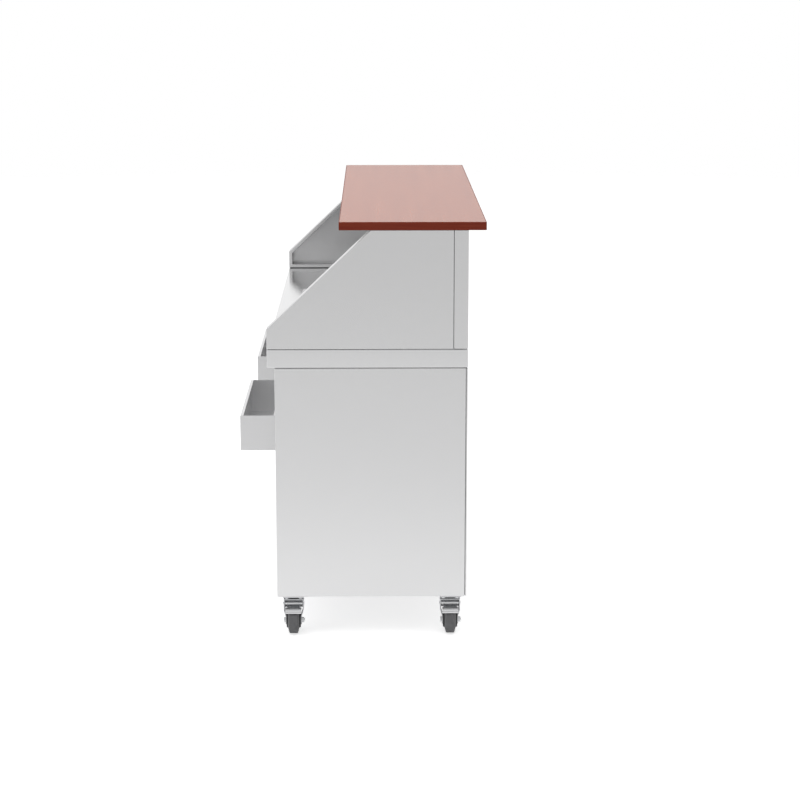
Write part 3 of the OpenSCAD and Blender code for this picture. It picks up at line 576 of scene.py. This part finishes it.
lidKnob = {
    "steps": 40, "tip": 0.0001, "tipWeld": 0.0004,
    "profile": [  # shares of the radius and the height, from foot to crown
        (0.486, 0), (0.468, 0.04), (0.36, 0.12), (0.3744, 0.36), (0.54, 0.432), (0.86, 0.477),
        (0.97, 0.54), (1, 0.639), (0.97, 0.774), (0.88, 0.891), (0.7, 0.9585), (0.4, 0.995),
    ],
}
low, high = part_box("ice_bin_lid_knob")
radius, height = (high.x - low.x) / 2, high.z - low.z
profile = [(share * radius, place * height) for share, place in lidKnob["profile"]]
profile = [(lidKnob["tip"], 0)] + profile + [(lidKnob["tip"], height)]
foot = Vector(((low.x + high.x) / 2, (low.y + high.y) / 2, low.z))
shape = turned(profile, foot, (0, 0, 1), lidKnob["steps"])
bmesh.ops.remove_doubles(shape, verts=shape.verts, dist=lidKnob["tipWeld"])
addPiece("iceBinLidKnob", shape, "ice_lid", moulded["knobBlack"], ("ice_bin_lid_knob",))

dressNode("ice_bin_insulation", moulded["insulationFoam"], "foam")
dressNode("drain_fitting", brightFasteners)
dressNode("drain_valve", valveBrass, "casting")
dressNode("drain_valve_lever", moulded["leverRed"], "pressing")
print("worktop and ice well made")

# Upper panels

upperEnd = {"sheet": 0.0012, "bend": 0.002, "lip": 0.011, "slantStart": 0.055, "slantRun": 0.281,
            "lining": stainlessTrough}
for end, side in ends.items():
    behind = (f"upper_end_panel_{end}", f"upper_end_frame_{end}")
    low, high = boxOver(behind)
    x = high.x if side > 0 else low.x
    outline = [Vector((x, *spot)) for spot in (
        (low.y, low.z), (high.y, low.z), (high.y, high.z),
        (low.y + upperEnd["slantRun"], high.z), (low.y, low.z + upperEnd["slantStart"]),
    )]
    foldedTray(f"upperEndPanel_{end}", behind, "root", stainlessPanel,
               upperEnd, outline, Vector((-side * (high.x - low.x), 0, 0)))

upperGuest = {"sheet": 0.0012, "bend": 0.002, "lip": 0.011}
low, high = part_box("upper_guest_panel")
foldedTray("upperGuestPanel", ("upper_guest_panel",), "root", stainlessPanel, upperGuest,
           boxFace(low, high, "rear"), Vector((0, low.y - high.y, 0)))

bearer = {"sheet": 0.0012, "bend": 0.002}
low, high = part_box("bar_top_bearer")
foldedTray("barTopBearer", ("bar_top_bearer",), "root", innerSheet, bearer,
           boxFace(low, high, "top"), Vector((0, 0, low.z - high.z)), sides=foldSides["pair"])
for name in ("carcass_gasket", "gantry_gasket", "guest_panel_tape"):
    dressNode(name, moulded["sealingStrip"], "strip")
print("upper panels folded")

# Bar top

barTop = {"ease": 0.0004, "facingDown": -0.5, "clear": 0.00001, "round": 0.0012, "steps": 3, "arc": 0.5}
low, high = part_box("bar_top")
shape = shapeFrom([boxFace(low, high, face) for face in boxFaces])
bmesh.ops.recalc_face_normals(shape, faces=shape.faces)
for face in shape.faces:  # plain backing below, laminate elsewhere
    face.material_index = int(face.normal.z < barTop["facingDown"])
piece = addPiece("barTopBoard", shape, "root", barLaminate, ("bar_top",))
piece.data.materials.append(moulded["backingPaper"])
softenEdges(piece, barTop["ease"], steps=1)


def pastBoard(spot):
    gap = barTop["clear"]
    return abs(spot.x) > high.x + gap or spot.y < low.y - gap or spot.y > high.y + gap


edgeLow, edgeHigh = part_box("bar_top_edging")
rings = [boxFace(edgeLow, edgeHigh, "bottom"), boxFace(edgeLow, edgeHigh, "top"),
         [Vector((v.x, v.y, edgeHigh.z)) for v in boxFace(low, high, "top")],
         [Vector((v.x, v.y, edgeLow.z)) for v in boxFace(low, high, "bottom")]]
shape = shapeFrom(loftRings(rings, closed=True))
bmesh.ops.recalc_face_normals(shape, faces=shape.faces)
outer = [e for e in shape.edges if all(pastBoard(v.co) for v in e.verts)]
bmesh.ops.bevel(shape, geom=outer, offset=barTop["round"], segments=barTop["steps"], profile=barTop["arc"],
                affect="EDGES", clamp_overlap=True)
piece = addPiece("barTopEdging", shape, "root", barBanding, ("bar_top_edging",))
piece.modifiers.new("shade", "WEIGHTED_NORMAL")
dressNode("bar_top_screws", brightFasteners, "fastener")
print("bar top made")

# Speed rails: one strip folded into lip, trough and hook, with a foot and two welded end plates

speedRail = {
    "sheet": 0.0012, "bend": 0.002, "lip": 0.009, "trayDepth": 0.092,
    "hookDrop": 0.009, "hookShort": 0.0005,
}
for end in ends:
    low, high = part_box(f"speed_rail_{end}")
    sheet = speedRail["sheet"]
    back = low.y + speedRail["trayDepth"]
    hookTop, hookBack = high.z - sheet, high.y - speedRail["hookShort"] - sheet
    section = [
        (low.y + speedRail["lip"], high.z), (low.y, high.z), (low.y, low.z), (back, low.z),
        (back, hookTop), (hookBack, hookTop), (hookBack, high.z - speedRail["hookDrop"]),
    ]
    x0, x1 = low.x + sheet, high.x - sheet
    loops = stripLoops([Vector((x0, *spot)) for spot in section], [Vector((x1, *spot)) for spot in section])
    foot = boxFace(Vector((x0 + sheet, back, low.z)), Vector((x1 - sheet, high.y, high.z)), "bottom")
    plates = [boxFace(low, high, "right"), boxFace(low, high, "left")[::-1]]
    shape = shapeFrom(loops + plates + [foot[::-1]])
    piece = addPiece(f"speedRail_{end}", shape, f"rail_{end}", stainlessTrough,
                     (f"speed_rail_{end}",))
    foldSheet(piece, sheet, speedRail["bend"])
dressNode("hanger_rivets", brightFasteners, "fastener")
print("speed rails folded")

# Casters

dressNode("caster_plates", zincPlate)
dressNode("caster_bolts", brightFasteners)
dressNode("caster_seals", moulded["sealingRubber"], "strip")
forkApron = {  # a strip folded behind the pedal; section: way back from the swivel, drop below the crown
    "sheet": 0.0012, "bend": 0.0018, "crown": 0.0025, "half": 0.0252,
    "section": [(0.0155, 0), (0.0155, 0.003), (0.0035, 0.030)],
}
for end, side in ends.items():
    for row in rows:
        key = f"{end}_{row}"
        low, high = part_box(f"fork_{key}")
        crownRadius = (high.y - low.y) / 2
        swivelX = low.x + crownRadius if side > 0 else high.x - crownRadius
        swivelY = (low.y + high.y) / 2
        apronTop = high.z - forkApron["crown"]
        section = [(swivelX - side * back, apronTop - drop) for back, drop in forkApron["section"]]
        edges = [[Vector((x, y, level)) for x, level in section]
                 for y in (swivelY - forkApron["half"], swivelY + forkApron["half"])]
        shape = shapeFrom(stripLoops(*edges))
        faceOutward(shape, Vector((swivelX + side * crownRadius, swivelY, high.z)))
        piece = addPiece(f"forkApron_{key}", shape, f"swivel_{key}", zincPlate)
        foldSheet(piece, forkApron["sheet"], forkApron["bend"])
        dressNode(f"fork_{key}", zincPlate, "pressing")
        dressNode(f"axle_{key}", brightFasteners)
        dressNode(f"hub_{key}", moulded["hubPlastic"])
        dressNode(f"tyre_{key}", moulded["tyreRubber"])
        # the pedals take the lighter copy of the zinc, painted highlight
        dressNode(f"brake_pedal_{key}", pedalLitZinc, "pressing")
print("casters dressed")

# Floor, light and camera

studio = {
    "floorSize": 30.0, "floorColour": (0.86, 0.86, 0.86), "floorRoughness": 1.0, "floorGloss": 0.0,
    "glowReach": (1.0, 2.4), "glowSeen": (0.64, 0.72),  # the paper stays white to the eye
    "mirrorReach": 10.0,  # in the steel it is dimmer, most of all 2 to 3 m away; shares of the reach below
    "glowMirrored": [(0.09, 0.35), (0.16, 0.26), (0.26, 0.16), (0.45, 0.27), (0.90, 0.24)],
    "floorReach": (9.0, 12.0),  # where the paper fades into the white
    "skyWhite": 1.0, "skyLight": 0.42,
    "skyBehind": 0.66, "behindFrom": 0.2,  # in the steel the room behind the camera is dimmer
    "skyTop": 0.8, "topFrom": 0.35,  # and so is the ceiling
}


# Camera, mirror and glass rays, which show the studio; the rest only light the object
def seenRays(tree):
    rays = tree.nodes.new("ShaderNodeLightPath").outputs
    first = combine(tree, "MAXIMUM", rays["Is Camera Ray"], rays["Is Glossy Ray"])
    return combine(tree, "MAXIMUM", first, rays["Is Transmission Ray"])


# A value that changes with the distance from the middle of the floor
def fadeOut(tree, reach, levels, smooth=True):
    spots = tree.nodes.new("ShaderNodeTexCoord")
    away = tree.nodes.new("ShaderNodeVectorMath")
    away.operation = "LENGTH"
    tree.links.new(spots.outputs["Object"], away.inputs[0])
    return spread(tree, away.outputs["Value"], *levels, reach, smooth)


shape = bmesh.new()
bmesh.ops.create_grid(shape, x_segments=1, y_segments=1, size=studio["floorSize"] / 2)
mesh = bpy.data.meshes.new("studioFloor")
shape.to_mesh(mesh)
shape.free()
floor = bpy.data.objects.new("studioFloor", mesh)
bpy.context.scene.collection.objects.link(floor)
paper, tree, shader = newFinish("floorPaper", studio["floorColour"], studio["floorRoughness"])
shader.inputs["Specular IOR Level"].default_value = studio["floorGloss"]
shader.inputs["Emission Color"].default_value = (1, 1, 1, 1)
shares = fadeOut(tree, (0, studio["mirrorReach"]), (0, 1), smooth=False)
mirrored = ramp(tree, shares, [(share, (level,) * 3) for share, level in studio["glowMirrored"]])
toEye = fadeOut(tree, studio["glowReach"], studio["glowSeen"])
path = tree.nodes.new("ShaderNodeLightPath")
shown = mixBetween(tree, path.outputs["Is Camera Ray"], mirrored, toEye)
glow = combine(tree, "MULTIPLY", seenRays(tree), shown)
tree.links.new(glow, shader.inputs["Emission Strength"])
thin = fadeOut(tree, studio["floorReach"], (1, 0))
tree.links.new(thin, shader.inputs["Alpha"])
mesh.materials.append(paper)

world = bpy.data.worlds.new("studioWorld")
bpy.context.scene.world = world
world.use_nodes = True
tree = world.node_tree
background = tree.nodes["Background"]
background.inputs["Color"].default_value = (1, 1, 1, 1)
spots = tree.nodes.new("ShaderNodeTexCoord")
split = tree.nodes.new("ShaderNodeSeparateXYZ")
tree.links.new(spots.outputs["Generated"], split.inputs["Vector"])
rearSky, topSky = (
    spread(tree, split.outputs[axis], studio["skyWhite"], studio[dimmest], (studio[start], 1.0))
    for axis, start, dimmest in (("X", "behindFrom", "skyBehind"), ("Z", "topFrom", "skyTop"))
)
mirroredSky = combine(tree, "MULTIPLY", rearSky, topSky)
path = tree.nodes.new("ShaderNodeLightPath")
seenSky = mixBetween(tree, path.outputs["Is Camera Ray"], mirroredSky, studio["skyWhite"])
level = mixBetween(tree, seenRays(tree), studio["skyLight"], seenSky)
tree.links.new(level, background.inputs["Strength"])

lamps = {  # name: place, aim, size, watts
    "topSoftbox": ((0.3, -0.2, 4.2), (0.0, 0.0, 0.6), 5.5, 100),
    "sideSoftbox": ((2.6, -4.2, 2.8), (0.0, 0.0, 0.7), 4.0, 44),
}
for name, (place, aim, size, watts) in lamps.items():
    light = bpy.data.lights.new(name, "AREA")
    light.size = size
    light.energy = watts
    lamp = bpy.data.objects.new(name, light)
    lamp.location = place
    lamp.visible_glossy = False  # the steel mirrors the plain sky, so it never clips
    lamp.rotation_euler = (Vector(aim) - Vector(place)).to_track_quat("-Z", "Y").to_euler()
    bpy.context.scene.collection.objects.link(lamp)

photoView = {"place": (6.0061, 0.0381, 1.8249), "pitch": 12.429, "yaw": -0.721,
             "lens": 89.63, "sensor": 36.0}
camera = bpy.data.cameras.new("photoCamera")
camera.lens = photoView["lens"]
camera.sensor_width = photoView["sensor"]
eye = bpy.data.objects.new("photoCamera", camera)
eye.location = photoView["place"]
pitch, yaw = radians(photoView["pitch"]), radians(photoView["yaw"])
ahead = Vector((-cos(pitch) * cos(yaw), -cos(pitch) * sin(yaw), -sin(pitch)))
eye.rotation_euler = ahead.to_track_quat("-Z", "Y").to_euler()
bpy.context.scene.collection.objects.link(eye)
bpy.context.scene.camera = eye
bpy.context.scene.view_settings.view_transform = "Standard"
print("studio set")
